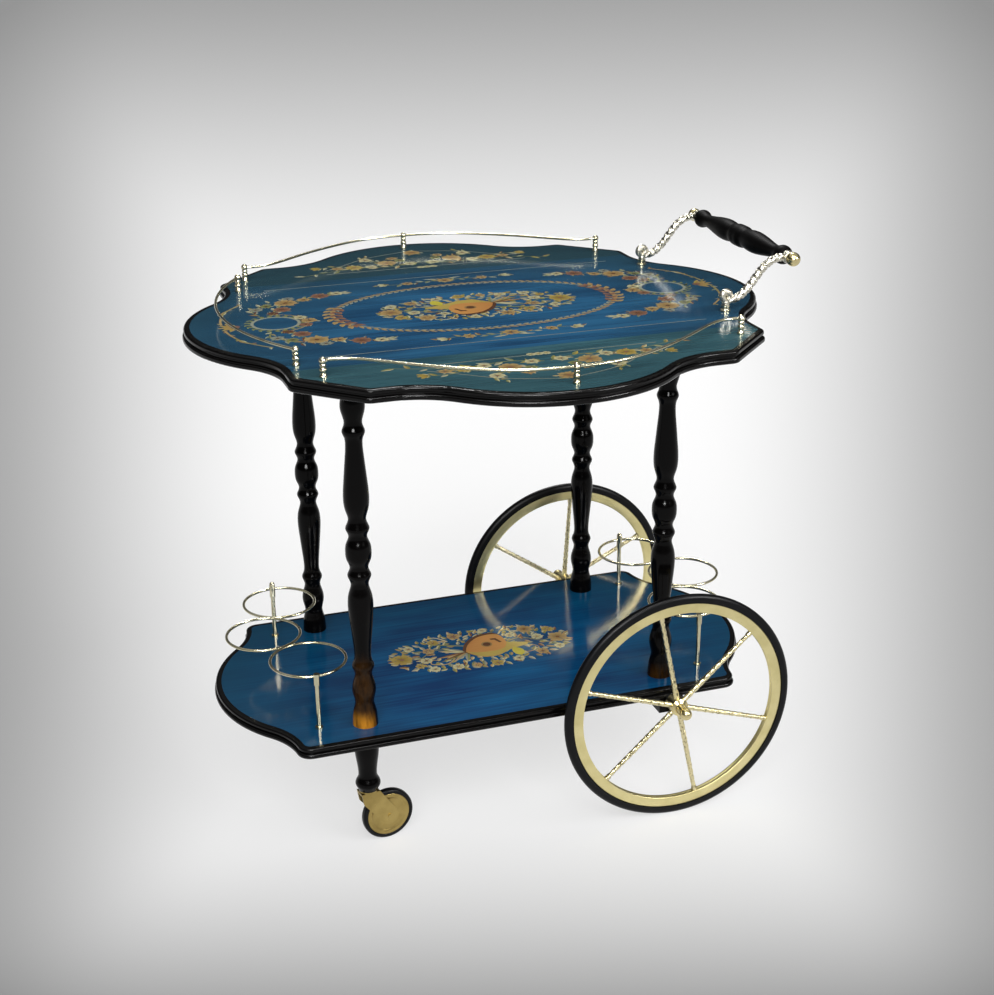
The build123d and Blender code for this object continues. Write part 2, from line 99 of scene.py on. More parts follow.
def dyed_veneer(name, deep, pale, edge, face_level):
    """Dyed poplar under lacquer: fine streaks along the board, broad clouds where the dye took unevenly,
    and a greener tone towards the ends and the back."""
    material, tree, shader, place = new_finish(name, clear_lacquer)
    streaks = long_blots(tree, place, (150 * mm, 4 * mm, 1), 4.0)
    clouds = long_blots(tree, place, (170 * mm, 45 * mm, 1), 2.0)
    both = put(tree, "ShaderNodeMath", {0: streaks, 1: 0.6, 2: clouds}, operation="MULTIPLY_ADD")
    level = put(tree, "ShaderNodeMapRange", {"Value": both, "From Min": 0.6, "From Max": 1.02})
    blend = {mix_factor: level, mix_first: linear(deep), mix_second: linear(pale)}
    dye = put(tree, "ShaderNodeMix", blend, data_type="RGBA")
    half_long, half_wide, towards_front = 0.36, 0.3, 0.22
    spread = {"Location": (-mid_x / half_long, towards_front, 0), "Scale": (1 / half_long, 1 / half_wide, 0)}
    oval = put(tree, "ShaderNodeMapping", {"Vector": place, **spread})
    away = put(tree, "ShaderNodeVectorMath", {0: oval}, operation="LENGTH")
    reach = {"Value": away.outputs["Value"], "From Min": 0.45, "From Max": 1.15, "To Max": 0.85}
    greener = put(tree, "ShaderNodeMapRange", reach)
    toned = {mix_factor: greener, mix_first: dye.outputs[mixed], mix_second: linear(edge)}
    whole = put(tree, "ShaderNodeMix", toned, data_type="RGBA")
    height = put(tree, "ShaderNodeSeparateXYZ", {0: place}).outputs["Z"]
    upper = put(tree, "ShaderNodeMath", {0: height, 1: face_level - 1 * mm}, operation="GREATER_THAN")
    faced = {mix_factor: upper, mix_first: linear("#1c120c"), mix_second: whole.outputs[mixed]}
    colour = put(tree, "ShaderNodeMix", faced, data_type="RGBA")
    tree.links.new(colour.outputs[mixed], shader.inputs["Base Color"])
    return material


def dress(material, *nodes):
    """Give pieces of the frame a finish."""
    for name in nodes:
        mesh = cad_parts[name].data
        mesh.materials.clear()
        mesh.materials.append(material)


boards = (
    ("tray_panel", "blue dyed poplar veneer, tray", "#184266", "#2f6991", "#294c5c", tray_top),
    ("front_leaf_panel", "teal dyed poplar veneer, near leaf", "#1d3f4e", "#46727c", "#375c64", tray_top),
    ("back_leaf_panel", "grey blue dyed poplar veneer, far leaf", "#223f4d", "#34596c", "#2a4852", tray_top),
    ("shelf_panel", "deep blue dyed poplar veneer, shelf", "#043563", "#0d5a8a", "#0e4159", shelf_top),
)
for node, *finish in boards:
    dress(dyed_veneer(*finish), node)

# Marquetry: flowers, leaves and a lute sawn from fruitwood veneers, the petals darkened at the root in
# hot sand, and let flush into the boards under the same lacquer. Drawn in millimetres from the tray's middle.
layer_step = 0.06 * mm
piece_step = 0.002 * mm
steps_in_layer = 28
pick = random.Random(7)


def two_tones(tree, shader, value, start, end, first, second):
    """Colour a surface from one tone to another while a value rises, and give that rise as 0 to 1."""
    rise = put(tree, "ShaderNodeMapRange", {"Value": value, "From Min": start, "From Max": end})
    blend = {mix_factor: rise, mix_first: linear(first), mix_second: linear(second)}
    colour = put(tree, "ShaderNodeMix", blend, data_type="RGBA")
    tree.links.new(colour.outputs[mixed], shader.inputs["Base Color"])
    return rise


def inlay_wood(name, pale, burnt):
    """Fruitwood veneer under lacquer: close grain along the board, brown where hot sand scorched it."""
    material, tree, shader, place = new_finish(name + " inlay veneer", clear_lacquer)
    grain = long_blots(tree, place, (30 * mm, 1.2 * mm, 1), 2.0)
    scorch = put(tree, "ShaderNodeAttribute", attribute_name="scorch").outputs["Fac"]
    toned = put(tree, "ShaderNodeMath", {0: grain, 1: 0.5, 2: scorch}, operation="MULTIPLY_ADD")
    two_tones(tree, shader, toned, 0.15, 1.25, pale, burnt)
    return material


inlay_woods = {
    "cream": inlay_wood("boxwood", "#d8d2a8", "#948858"),
    "tan": inlay_wood("pear", "#bfa26c", "#86683e"),
    "orange": inlay_wood("cherry", "#9c725a", "#644638"),
    "yellow": inlay_wood("barberry", "#bea758", "#866e34"),
    "olive": inlay_wood("green dyed sycamore", "#96985f", "#4c5230"),
    "brown": inlay_wood("walnut", "#855a40", "#412a1c"),
    "amber": inlay_wood("amber cherry", "#d39a58", "#a66b38"),
    "bright": inlay_wood("yellow dyed boxwood", "#cfc34c", "#8f8434"),
    "grey": inlay_wood("silver harewood", "#a3a794", "#62655a"),
}
wood_order = list(inlay_woods)
pairs = (("cream", "grey"), ("cream", "olive"), ("tan", "olive"), ("cream", "tan"), ("yellow", "olive"))
pairs += (("grey", "olive"), ("cream", "grey"), ("tan", "brown"))
dim_pairs = (("olive", "grey"), ("tan", "brown"), ("grey", "brown"), ("tan", "olive"), ("cream", "grey"))


def cut(sheet, wood, outline, scorch, layer=0):
    """Add one flat piece of veneer to a sheet: its corners, and how scorched each of them is."""
    sheet.append((wood, outline, scorch, layer))


def placed(x, y, turn, points):
    """Points drawn at the origin, turned and moved to a place."""
    c, s = math.cos(turn), math.sin(turn)
    return [(x + u * c - v * s, y + u * s + v * c) for u, v in points]


def spun(x, y, spots):
    """Points at distances and angles round a place."""
    return [(x + r * math.cos(a), y + r * math.sin(a)) for r, a in spots]


def smooth(points, steps):
    """Points along a curve that runs smoothly through the given ones."""
    ends = [points[0]] + list(points) + [points[-1]]
    path = []
    for a, b, c, d in zip(ends, ends[1:], ends[2:], ends[3:]):
        for i in range(steps):
            t = i / steps
            weights = (-t + 2 * t**2 - t**3, 2 - 5 * t**2 + 3 * t**3, t + 4 * t**2 - 3 * t**3, t**3 - t**2)
            columns = zip(a, b, c, d)
            path.append(tuple(sum(w * v for w, v in zip(weights, column)) / 2 for column in columns))
    return path + [tuple(points[-1])]


def leaf(sheet, x, y, turn, length, width, woods=("cream", "grey"), layer=0):
    """Pointed leaf sawn in two halves of different wood."""
    for side, wood in zip((1, -1), woods):
        stations = (0, 0.15, 0.35, 0.6, 0.85, 1)
        rim = [(t * length, side * width / 2 * math.sin(math.pi * t**0.8)) for t in stations]
        cut(sheet, wood, placed(x, y, turn, rim), (0.7, 0.4, 0.15, 0.05, 0, 0.1), layer)


def disc(sheet, wood, x, y, radius, scorch, layer):
    """Small round piece."""
    rim = spun(x, y, [(radius, a * math.pi / 6) for a in range(12)])
    cut(sheet, wood, rim, (scorch,) * 12, layer)


def flower(sheet, x, y, radius, wood, heart, petals, turn=0.3):
    """Open flower: petals scorched towards a round heart."""
    half = 0.48 * 2 * math.pi / petals
    petal = ((0.1, 0), (0.55, -0.9), (0.86, -1), (1, -0.5), (0.95, 0), (1, 0.5), (0.86, 1), (0.55, 0.9))
    for i in range(petals):
        middle = turn + i * 2 * math.pi / petals
        rim = spun(x, y, [(radius * r, middle + a * half) for r, a in petal])
        cut(sheet, wood, rim, (0.8, 0.45, 0.15, 0, 0.2, 0, 0.15, 0.45), 1)
    disc(sheet, heart, x, y, 0.22 * radius, 0.35, 2)


def rose(sheet, x, y, radius, wood, heart, turn):
    """Full flower: two rounds of petals, the inner one darker."""
    flower(sheet, x, y, radius, wood, heart, 7, turn)
    inner = 0.62 * radius
    for i in range(5):
        middle = turn + 0.4 + i * 2 * math.pi / 5
        petal = [(0, 0), (0.8, -0.45), (1, -0.15), (1, 0.15), (0.8, 0.45)]
        rim = spun(x, y, [(inner * r, middle + a) for r, a in petal])
        cut(sheet, wood, rim, (0.9, 0.6, 0.3, 0.3, 0.6), 2)
    disc(sheet, heart, x, y, 0.2 * radius, 0.3, 3)


def posy(sheet, x, y, radius, wood, heart="orange", leaves=6, woods=pairs):
    """Flower in a collar of leaves of mixed woods."""
    for i in range(leaves):
        turn = 2 * math.pi * (i + pick.uniform(-0.25, 0.25)) / leaves
        start = radius * pick.uniform(0.6, 0.9)
        long = radius * pick.uniform(0.5, 0.72)
        at = placed(x, y, turn, [(start, 0)])[0]
        leaf(sheet, *at, turn + pick.uniform(-1.3, 1.3), long, 0.5 * long, pick.choice(woods))
    if radius > 11:
        rose(sheet, x, y, radius, wood, heart, pick.random())
    else:
        flower(sheet, x, y, radius, wood, heart, pick.choice((5, 6)), pick.random())


def bud(sheet, x, y, turn, size, wood):
    """Half-open flower seen from the side, with two green leaflets at its root."""
    for lean in (-0.55, 0, 0.55):
        rim = [(0.1, 0), (0.5, -0.2), (0.9, -0.13), (1, 0), (0.9, 0.13), (0.5, 0.2)]
        scaled = [(size * u, size * v) for u, v in rim]
        cut(sheet, wood, placed(x, y, turn + lean, scaled), (0.8, 0.4, 0.1, 0, 0.1, 0.4), 1)
    for lean in (-1.0, 1.0):
        leaf(sheet, x, y, turn + lean, 0.7 * size, 0.26 * size, ("olive", "cream"))


def stem(sheet, points, width, wood="olive", taper=0.5):
    """Ribbon along a smooth path, finer towards its end."""
    path = smooth(points, 6)
    last = len(path) - 1
    rims = []
    for i, (x, y) in enumerate(path):
        (x0, y0), (x1, y1) = path[max(i - 1, 0)], path[min(i + 1, last)]
        turn = math.atan2(y1 - y0, x1 - x0)
        half = width / 2 * (1 - taper * i / last)
        rims.append(placed(x, y, turn, [(0, half), (0, -half)]))
    for (a, b), (c, d) in zip(rims, rims[1:]):
        cut(sheet, wood, [a, b, d, c], (0.1,) * 4)


def spray(sheet, points, reach, woods=pairs, every=2):
    """Stem with leaves on both sides of it."""
    stem(sheet, points, 1.8)
    path = smooth(points, 6)
    for count, i in enumerate(range(1, len(path) - 1, every)):
        (x0, y0), (x1, y1) = path[i], path[i + 1]
        side = 1 if count % 2 else -1
        turn = math.atan2(y1 - y0, x1 - x0) + side * pick.uniform(0.5, 1.0)
        long = reach * pick.uniform(0.75, 1.15)
        leaf(sheet, x0, y0, turn, long, 0.4 * long, pick.choice(woods))


def lute(sheet):
    """Round-backed lute on a fan of long leaves: dark side, belly of two woods that runs into the neck, sound
    hole, bridge and a yellow drop."""
    fan_x, fan_y = -22, -7
    tips = [(-63, 9, ("cream", "tan")), (-54, 15, ("cream", "grey")), (-72, -13, ("tan", "brown"))]
    tips += [(-68, -26, ("olive", "brown")), (-50, -31, ("grey", "tan")), (-30, -36, ("olive", "grey"))]
    for x, y, woods in tips:
        turn = math.atan2(y - fan_y, x - fan_x)
        leaf(sheet, fan_x, fan_y, turn, math.hypot(x - fan_x, y - fan_y), 7.5, woods)
    cut(sheet, "olive", [(-68, 35), (-67, 31.5), (-19, 11), (-18, 14)], (0.2,) * 4, 1)
    upper = [(-24, -6), (-17, 11), (-6, 25), (8, 35), (27, 38), (39, 32), (43, 14), (42, -8)]
    lower = [(42, -8), (36, -21), (17, -32), (-3, -30), (-17, -18), (-24, -6)]
    back, front = smooth(upper, 4), smooth(lower, 4)
    belly = back + front[1:-1]
    shell = [(1.04 * x - 3, 1.04 * y + 4) for x, y in belly]
    cut(sheet, "brown", shell, (0.6,) * len(shell), 2)
    cut(sheet, "amber", belly, [0.1 + 0.35 * (x < 0) for x, y in belly], 3)
    board = smooth([(-24, -6), (-5, -14), (19, -16), (35, -10), (43, 6)], 4) + [(73, -5), (71, -11)]
    board += smooth([(57, -15), (43, -18.5), (33, -24.5), (14, -32), (-8, -27), (-22, -9)], 4)
    cut(sheet, "yellow", board, [0.2 * (x < -8) for x, y in board], 4)
    hole = (12.5, 7.5)
    disc(sheet, "tan", *hole, 8.5, 0.7, 5)
    disc(sheet, "brown", *hole, 6, 0.6, 6)
    cut(sheet, "brown", [(22, 24), (31, 23), (36.5, 8), (32.5, 7), (28, 18), (22.5, 19.5)], (0.5,) * 6, 5)
    drop = smooth([(47, -14), (57, -22), (58, -34), (51, -42), (44, -36), (42, -24), (47, -14)], 4)[1:]
    cut(sheet, "bright", drop, [0.3 * (y > -20) for x, y in drop], 5)


def medallion(sheet):
    """Oval bouquet about 286 by 130 with a lute across its middle."""
    rounds = ((132, 55, 56, 15), (112, 47, 50, 16), (92, 40, 44, 16), (70, 33, 36, 15), (48, 25, 24, 14))
    for half, rise, count, reach in rounds:
        for i in range(count):
            a = 2 * math.pi * (i + 0.5 * pick.random()) / count
            px, py = half * math.cos(a), rise * math.sin(a)
            outward = math.atan2(py / rise**2, px / half**2) + pick.uniform(-1.2, 1.2)
            leaf(sheet, px, py, outward, reach * pick.uniform(0.65, 1.05), 6.2, pick.choice(pairs))
    arm = [(30, 0), (66, 14), (95, -6), (120, 2)]
    curl = [(40, 36), (56, 54), (74, 50), (70, 38), (58, 42)]
    hook = [(40, -14), (60, -34), (82, -28), (78, -16), (68, -20)]
    for side in (-1, 1):
        for line, width, wood in ((arm, 2.4, "olive"), (curl, 2.6, "cream"), (hook, 2.6, "tan")):
            stem(sheet, [(u * side, v) for u, v in line], width, wood)
    blooms = ((121, -3, 15, "tan"), (-120, 0, 16, "yellow"), (82, 38, 12, "tan"), (-27, 49, 10, "tan"))
    blooms += ((115, 27, 9, "yellow"), (-87, -14, 9, "cream"), (-82, -44, 8, "cream"), (-48, -47, 9, "cream"))
    blooms += ((10, -54, 9, "yellow"), (114, -31, 8, "cream"), (-102, 30, 8, "cream"), (-62, 38, 9, "yellow"))
    blooms += ((44, -50, 8, "cream"), (84, -40, 9, "tan"), (-76, 14, 9, "tan"), (92, 8, 9, "cream"))
    blooms += ((20, 54, 7, "cream"), (-20, -51, 7, "tan"), (54, 26, 7, "cream"), (-100, -28, 7, "yellow"))
    for u, v, radius, wood in blooms:
        posy(sheet, u, v, radius, wood, pick.choice(("orange", "brown", "tan")), 5)
    lute(sheet)


def mirrored(sheet, sx, sy, draw, x=0, y=0):
    """Draw on a sheet of its own and add that across one or both middle lines, moved to a place."""
    fresh = []
    draw(fresh)
    for wood, outline, scorch, layer in fresh:
        cut(sheet, wood, [(x + sx * u, y + sy * v) for u, v in outline], scorch, layer)


def quarter_garland(sheet):
    """Flowers that hang from an end ring towards the middle of the tray's long side."""
    spray(sheet, [(274, 38), (262, 66), (244, 94), (208, 112), (150, 128)], 16, dim_pairs)
    spray(sheet, [(290, 40), (296, 64), (284, 84), (262, 108)], 14, dim_pairs)
    posy(sheet, 243, 97, 16, "tan", "brown", 7, dim_pairs)
    posy(sheet, 190, 119, 13, "orange", "brown", 6, dim_pairs)
    blooms = ((255, 64, 12, "orange"), (289, 74, 9, "grey"), (216, 106, 9, "tan"), (165, 125, 9, "cream"))
    for x, y, radius, wood in blooms + ((272, 88, 8, "olive"), (236, 118, 8, "grey"), (270, 48, 8, "brown")):
        posy(sheet, x, y, radius, wood, "brown", 6, dim_pairs)
    for turn in (2.7, 3.2, 3.7):
        leaf(sheet, 162, 126, turn, 18, 5, ("cream", "grey"))


def long_side_spray(sheet):
    """Half of the small spray between the oval and a leaf joint."""
    spray(sheet, [(0, 142), (26, 150), (58, 143), (102, 150)], 13, dim_pairs)
    posy(sheet, 56, 146, 8, "tan", "brown")
    bud(sheet, 86, 148, 0.1, 14, "cream")
    leaf(sheet, 6, 156, 0.25, 24, 5, ("cream", "grey"))


ring_x = 277


def ring_cluster(sheet):
    """Pale ring round a bottle's place, with flowers on its inner side and a leaf fan on its outer side."""
    turns = [2 * math.pi * i / 16 for i in range(17)]
    stem(sheet, spun(ring_x, 0, [(31, a) for a in turns]), 4.2, "grey", 0)
    stem(sheet, spun(ring_x, 0, [(43, a) for a in turns[4:13]]), 1.6, "tan", 0)
    for x, y, radius, wood in ((232, 0, 11, "tan"), (240, 19, 9, "cream"), (240, -19, 9, "orange")):
        posy(sheet, x, y, radius, wood, "brown", 5, dim_pairs)
    for turn in (-1.1, -0.55, 0, 0.55, 1.1):
        leaf(sheet, 330, 0, turn, 24, 9, ("yellow", "tan"))
    disc(sheet, "orange", 330, 0, 6, 0.3, 1)


def end_stringing(sheet):
    """Half of the leafy line that follows the ogee of a tray end."""
    line = [(346, 14), (343, 40), (330, 78), (303, 112)]
    stem(sheet, line, 3.4, "tan", 0.3)
    spray(sheet, line, 10, dim_pairs, 4)
    leaf(sheet, 338, 62, 2.0, 24, 7, ("cream", "tan"))


def leaf_board_garland(sheet):
    """Half of the garland on a drop leaf, for the far leaf."""
    spray(sheet, [(4, 276), (46, 262), (92, 268), (138, 262), (190, 243)], 17)
    spray(sheet, [(92, 268), (124, 288), (158, 286)], 14)
    stem(sheet, [(150, 268), (120, 290), (70, 328), (0, 352)], 1.4, "grey", 0)
    posy(sheet, 51, 286, 15, "tan", "orange", 7)
    posy(sheet, 104, 274, 13, "yellow", "orange", 7)
    blooms = ((79, 270, 9, "cream"), (77, 314, 10, "cream"), (19, 272, 9, "cream"), (36, 312, 8, "tan"))
    for x, y, radius, wood in blooms + ((130, 276, 8, "tan"), (28, 296, 8, "olive")):
        posy(sheet, x, y, radius, wood)
    spray(sheet, [(52, 296), (68, 306), (84, 322), (70, 334)], 12)
    bud(sheet, 152, 285, 0.1, 16, "yellow")


def flat_mesh(name, sheet, heights, x=0.0):
    """Mesh of the flat pieces on a sheet, each at its own height, with the scorching of their corners."""
    corners, faces, scorches = [], [], []
    for (wood, outline, scorch, layer), z in zip(sheet, heights):
        area = sum(a[0] * b[1] - b[0] * a[1] for a, b in zip(outline, outline[1:] + outline[:1]))
        order = range(len(outline)) if area > 0 else reversed(range(len(outline)))
        faces.append([len(corners) + k for k in order])
        corners += [(x + u * mm, v * mm, z) for u, v in outline]
        scorches += list(scorch)
    mesh = bpy.data.meshes.new(name)
    mesh.from_pydata(corners, [], faces)
    mesh.attributes.new("scorch", "FLOAT", "POINT").data.foreach_set("value", scorches)
    return mesh


def set_out(name, data):
    """New object in the scene that shows a mesh, a curve, a lamp or a camera."""
    thing = bpy.data.objects.new(name, data)
    bpy.context.scene.collection.objects.link(thing)
    return thing


def lay(name, sheet, level, body):
    """Make one flat piece of everything on a sheet, just proud of its board."""
    heights = []
    for i, (wood, outline, scorch, layer) in enumerate(sheet):
        heights.append(level + (layer + 1) * layer_step + i % steps_in_layer * piece_step)
    mesh = flat_mesh(name, sheet, heights, mid_x)
    for wood in wood_order:
        mesh.materials.append(inlay_woods[wood])
    mesh.polygons.foreach_set("material_index", [wood_order.index(cutting[0]) for cutting in sheet])
    piece = set_out(name, mesh)
    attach(piece, body)


oval_y = 7
tray_sheet = []
mirrored(tray_sheet, -1, -1, medallion, 1, 3)
for sx in (-1, 1):
    mirrored(tray_sheet, sx, 1, ring_cluster, 0, oval_y)
    for sy in (-1, 1):
        mirrored(tray_sheet, sx, sy, quarter_garland, 0, oval_y + 2)
        mirrored(tray_sheet, sx, sy, long_side_spray, 0, oval_y)
        mirrored(tray_sheet, sx, sy, end_stringing, 0, oval_y)
for sy in (-1, 1):
    posy(tray_sheet, 0, oval_y + 147 * sy, 11, "tan", "brown")
    string_y = oval_y + 176 * sy
    stem(tray_sheet, [(-258, string_y), (0, string_y), (262, string_y)], 1.4, "grey", 0)
lay("tray_marquetry", tray_sheet, tray_top, "frame")
shelf_sheet = []
mirrored(shelf_sheet, 1, 1, medallion, 0, 8)
lay("shelf_marquetry", shelf_sheet, shelf_top, "frame")
for side, sy in (("front", -1), ("back", 1)):
    leaf_sheet = []
    for sx in (-1, 1):
        mirrored(leaf_sheet, sx, sy, leaf_board_garland)
    posy(leaf_sheet, 3, sy * 340, 13, "tan", "orange")
    for x in (-10, 0, 10):
        flower(leaf_sheet, x, sy * 244, 6, "cream", "yellow", 5)
    stem(leaf_sheet, [(-152, 247 * sy), (0, 246 * sy), (156, 247 * sy)], 1.6, "grey", 0)
    lay(side + "_leaf_marquetry", leaf_sheet, tray_top, side + "_leaf")

# Leaf chains of the tray: small leaves of harewood and pear one after another along an oval, larger pear and
# cherry leaves where it turns, and green leaves round each bottle's place. One leaf is set along each line.


def new_tree(name, result, inputs):
    """Geometry tree with named inputs and one output, and the values that are given to it."""
    tree = bpy.data.node_groups.new(name, "GeometryNodeTree")
    for label, kind in inputs:
        tree.interface.new_socket(label, in_out="INPUT", socket_type="NodeSocket" + kind)
    tree.interface.new_socket(result, in_out="OUTPUT", socket_type="NodeSocketGeometry")
    return tree, put(tree, "NodeGroupInput").outputs


inputs = (("Line", "Geometry"), ("Leaf", "Object"), ("Leaf count", "Int"), ("Wood", "Material"))
chain, given = new_tree("leaves along a line", "Chain", inputs)
along = {"Curve": given["Line"], "Count": given["Leaf count"]}
spots = put(chain, "GeometryNodeCurveToPoints", along)
ahead = {"Vector": spots.outputs["Tangent"]}
facing = put(chain, "FunctionNodeAlignRotationToVector", ahead, axis="X", pivot_axis="Z")
one_leaf = put(chain, "GeometryNodeObjectInfo", {"Object": given["Leaf"]})
set_leaf = {"Points": spots.outputs["Points"], "Instance": one_leaf.outputs["Geometry"]}
leaves = put(chain, "GeometryNodeInstanceOnPoints", {**set_leaf, "Rotation": facing})
whole = put(chain, "GeometryNodeRealizeInstances", {"Geometry": leaves})
wooden = {"Geometry": whole, "Material": given["Wood"]}
put(chain, "NodeGroupOutput", {0: put(chain, "GeometryNodeSetMaterial", wooden)})


def plain_mesh(carrier, name, tree, values):
    """Run a tree on an object once and keep the result as an object with a plain mesh."""
    modifier = carrier.modifiers.new(tree.name, "NODES")
    modifier.node_group = tree
    for socket in tree.interface.items_tree:
        if socket.name in values:
            modifier[socket.identifier] = values[socket.name]
    scene_now = bpy.context.evaluated_depsgraph_get()
    mesh = bpy.data.meshes.new_from_object(carrier.evaluated_get(scene_now), depsgraph=scene_now)
    bpy.data.objects.remove(carrier)
    return set_out(name, mesh)


def chain_leaf_object(length, width, leans):
    """Pointed leaves that part from one spot."""
    fan = []
    for lean in leans:
        leaf(fan, 0, 0, lean, length, width)
    heights = [(i + 1) * piece_step for i in range(len(fan))]
    return set_out("leaf fan", flat_mesh("leaf fan", fan, heights))


def leaf_chain(name, x, half_x, half_y, start, turn, count, shape, wood, layer):
    """Leaves along an arc of an oval, from a start angle over a turn, in degrees."""
    line = bpy.data.curves.new("chain line", "CURVE")
    line.dimensions = "3D"
    spline = line.splines.new("POLY")
    steps = 72
    spline.points.add(steps)
    for i, point in enumerate(spline.points):
        a = math.radians(start + turn * i / steps)
        px, py = x + half_x * math.cos(a), oval_y + half_y * math.sin(a)
        point.co = (mid_x + px * mm, py * mm, tray_top + layer * layer_step, 1)
    carrier = set_out("chain line", line)
    values = {"Leaf": shape, "Leaf count": count, "Wood": inlay_woods[wood]}
    piece = plain_mesh(carrier, name, chain, values)
    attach(piece, "frame")


outer_leaf = chain_leaf_object(13, 5.2, (0.5,))
inner_leaf = chain_leaf_object(13, 5.2, (-0.5,))
large_fan = chain_leaf_object(15, 8, (-0.6, 0.6))
tiny_pair = chain_leaf_object(9, 4, (-0.5, 0.5))
for side, start in (("back", 16), ("front", 196)):
    leaf_chain("tray_oval_outer_leaves_" + side, 0, 197, 119, start, 148, 42, outer_leaf, "grey", 1)
    leaf_chain("tray_oval_inner_leaves_" + side, 0, 196, 118, start + 1, 148, 42, inner_leaf, "tan", 2)
for side, start in (("right", -24), ("left", 156)):
    leaf_chain("tray_oval_turn_outer_" + side, 0, 203, 124, start, 46, 8, large_fan, "tan", 3)
    leaf_chain("tray_oval_turn_inner_" + side, 0, 193, 118, start + 3, 42, 7, large_fan, "orange", 4)
for side, x in (("left", -ring_x), ("right", ring_x)):
    leaf_chain("tray_ring_chain_" + side, x, 37, 37, 0, 360, 22, tiny_pair, "olive", 0.5)
for fan_object in (outer_leaf, inner_leaf, large_fan, tiny_pair):
    bpy.data.objects.remove(fan_object)

# Edge mouldings, legs, feet and axle blocks: turned or moulded beech, sprayed with black lacquer and
# polished. The mouldings are glued round the boards, and the legs stand on dowels between them.


def black_lacquer(name, rough, sheen, amber=0.0, brown=0.0):
    """Sprayed gloss black: deep and dark with crisp highlights and a faint orange peel. Near the foot it is
    rubbed through to amber stain, and a thin brown shows through above that."""
    material, tree, shader, place = new_finish(name, {"Roughness": rough, "Specular IOR Level": sheen})
    peel = put(tree, "ShaderNodeTexNoise", {"Vector": place, "Scale": 1 / (6 * mm), "Detail": 1.0})
    wave = {"Height": peel, "Strength": 0.1, "Distance": 0.1 * mm}
    tree.links.new(put(tree, "ShaderNodeBump", wave).outputs[0], shader.inputs["Normal"])
    height = put(tree, "ShaderNodeSeparateXYZ", {0: place}).outputs["Z"]
    normal = put(tree, "ShaderNodeTexCoord").outputs["Normal"]
    facing_out = put(tree, "ShaderNodeVectorMath", {0: normal, 1: (-0.7, -0.7, 0)}, operation="DOT_PRODUCT")
    turned_to = {"Value": facing_out.outputs["Value"], "From Min": -0.1, "From Max": 0.8}
    side = put(tree, "ShaderNodeMapRange", turned_to)
    rub = long_blots(tree, place, (6 * mm, 6 * mm, 30 * mm), 3.0)
    worn = put(tree, "ShaderNodeMapRange", {"Value": rub, "From Min": 0.2, "From Max": 0.6})
    patch = put(tree, "ShaderNodeMath", {0: side, 1: worn}, operation="MULTIPLY")
    seen = linear("#060505")
    stains = ((70 * mm, 118 * mm, brown, "#4a3014"), (5 * mm, 27 * mm, amber, "#c68426"))
    for low, high, most, stain in stains:
        fade = {"Value": height, "From Min": shelf_top + low, "From Max": shelf_top + high}
        fade.update({"To Min": most, "To Max": 0.0})
        thin = put(tree, "ShaderNodeMapRange", fade, interpolation_type="SMOOTHSTEP")
        amount = put(tree, "ShaderNodeMath", {0: thin, 1: patch}, operation="MULTIPLY")
        blend = {mix_factor: amount, mix_first: seen, mix_second: linear(stain)}
        seen = put(tree, "ShaderNodeMix", blend, data_type="RGBA").outputs[mixed]
    tree.links.new(seen, shader.inputs["Base Color"])
    return material


moulding_black = black_lacquer("black lacquered beech moulding", 0.2, 0.17)
dress(moulding_black, "tray_lip_left", "tray_lip_right", "front_leaf_lip", "back_leaf_lip", "shelf_lip")
leg_gloss = (0.15, 0.085)
plain_black = black_lacquer("black lacquered beech", *leg_gloss)
dress(plain_black, "front_foot", "back_foot", "front_axle_block", "back_axle_block")
dress(plain_black, "back_left_leg", "back_right_leg", "leg_dowels")
worn_legs = [("front_left_leg", "rubbed amber at the foot", 0.95, 0.6)]
worn_legs += [("front_right_leg", "a little amber at the foot", 0.06, 0.0)]
for node, wear, amber, brown in worn_legs:
    dress(black_lacquer("black lacquered beech, " + wear, *leg_gloss, amber, brown), node)

# Gallery: thin rails bent to the lines of the board and held by small turned posts, all in brass that
# was plated pale and polished. Each post is screwed into the board and drilled for its rail.


def polished_metal(name, bright, shadow, rough):
    """Polished plate or sheet: clean reflections, with a faint cloud of handling and polishing marks."""
    material, tree, shader, place = new_finish(name, {"Metallic": 1.0})
    clouds = put(tree, "ShaderNodeTexNoise", {"Vector": place, "Scale": 1 / (25 * mm), "Detail": 3.0})
    two_tones(tree, shader, clouds, 0.35, 0.7, bright, shadow)
    hairlines = put(tree, "ShaderNodeTexNoise", {"Vector": place, "Scale": 1 / (3 * mm), "Detail": 4.0})
    spread = {"Value": hairlines, "To Min": 0.7 * rough, "To Max": 1.5 * rough}
    grade = put(tree, "ShaderNodeMapRange", spread)
    tree.links.new(grade.outputs[0], shader.inputs["Roughness"])
    return material


pale_brass = polished_metal("pale plated brass, polished", "#d2cdb2", "#b2ac8c", 0.2)
dress(pale_brass, "front_rail", "back_rail")


def full_turn(count):
    """Angles spaced evenly round a circle."""
    return [2 * math.pi * k / count for k in range(count)]


def lathe(profile, centre, axis, sides):
    """Rings of points round an axis, one for each (distance along it, radius)."""
    axis = Vector(axis).normalized()
    side = axis.orthogonal().normalized()
    other = axis.cross(side)
    outward = [side * math.cos(a) + other * math.sin(a) for a in full_turn(sides)]
    return [[Vector(centre) + axis * along + out * radius for out in outward] for along, radius in profile]


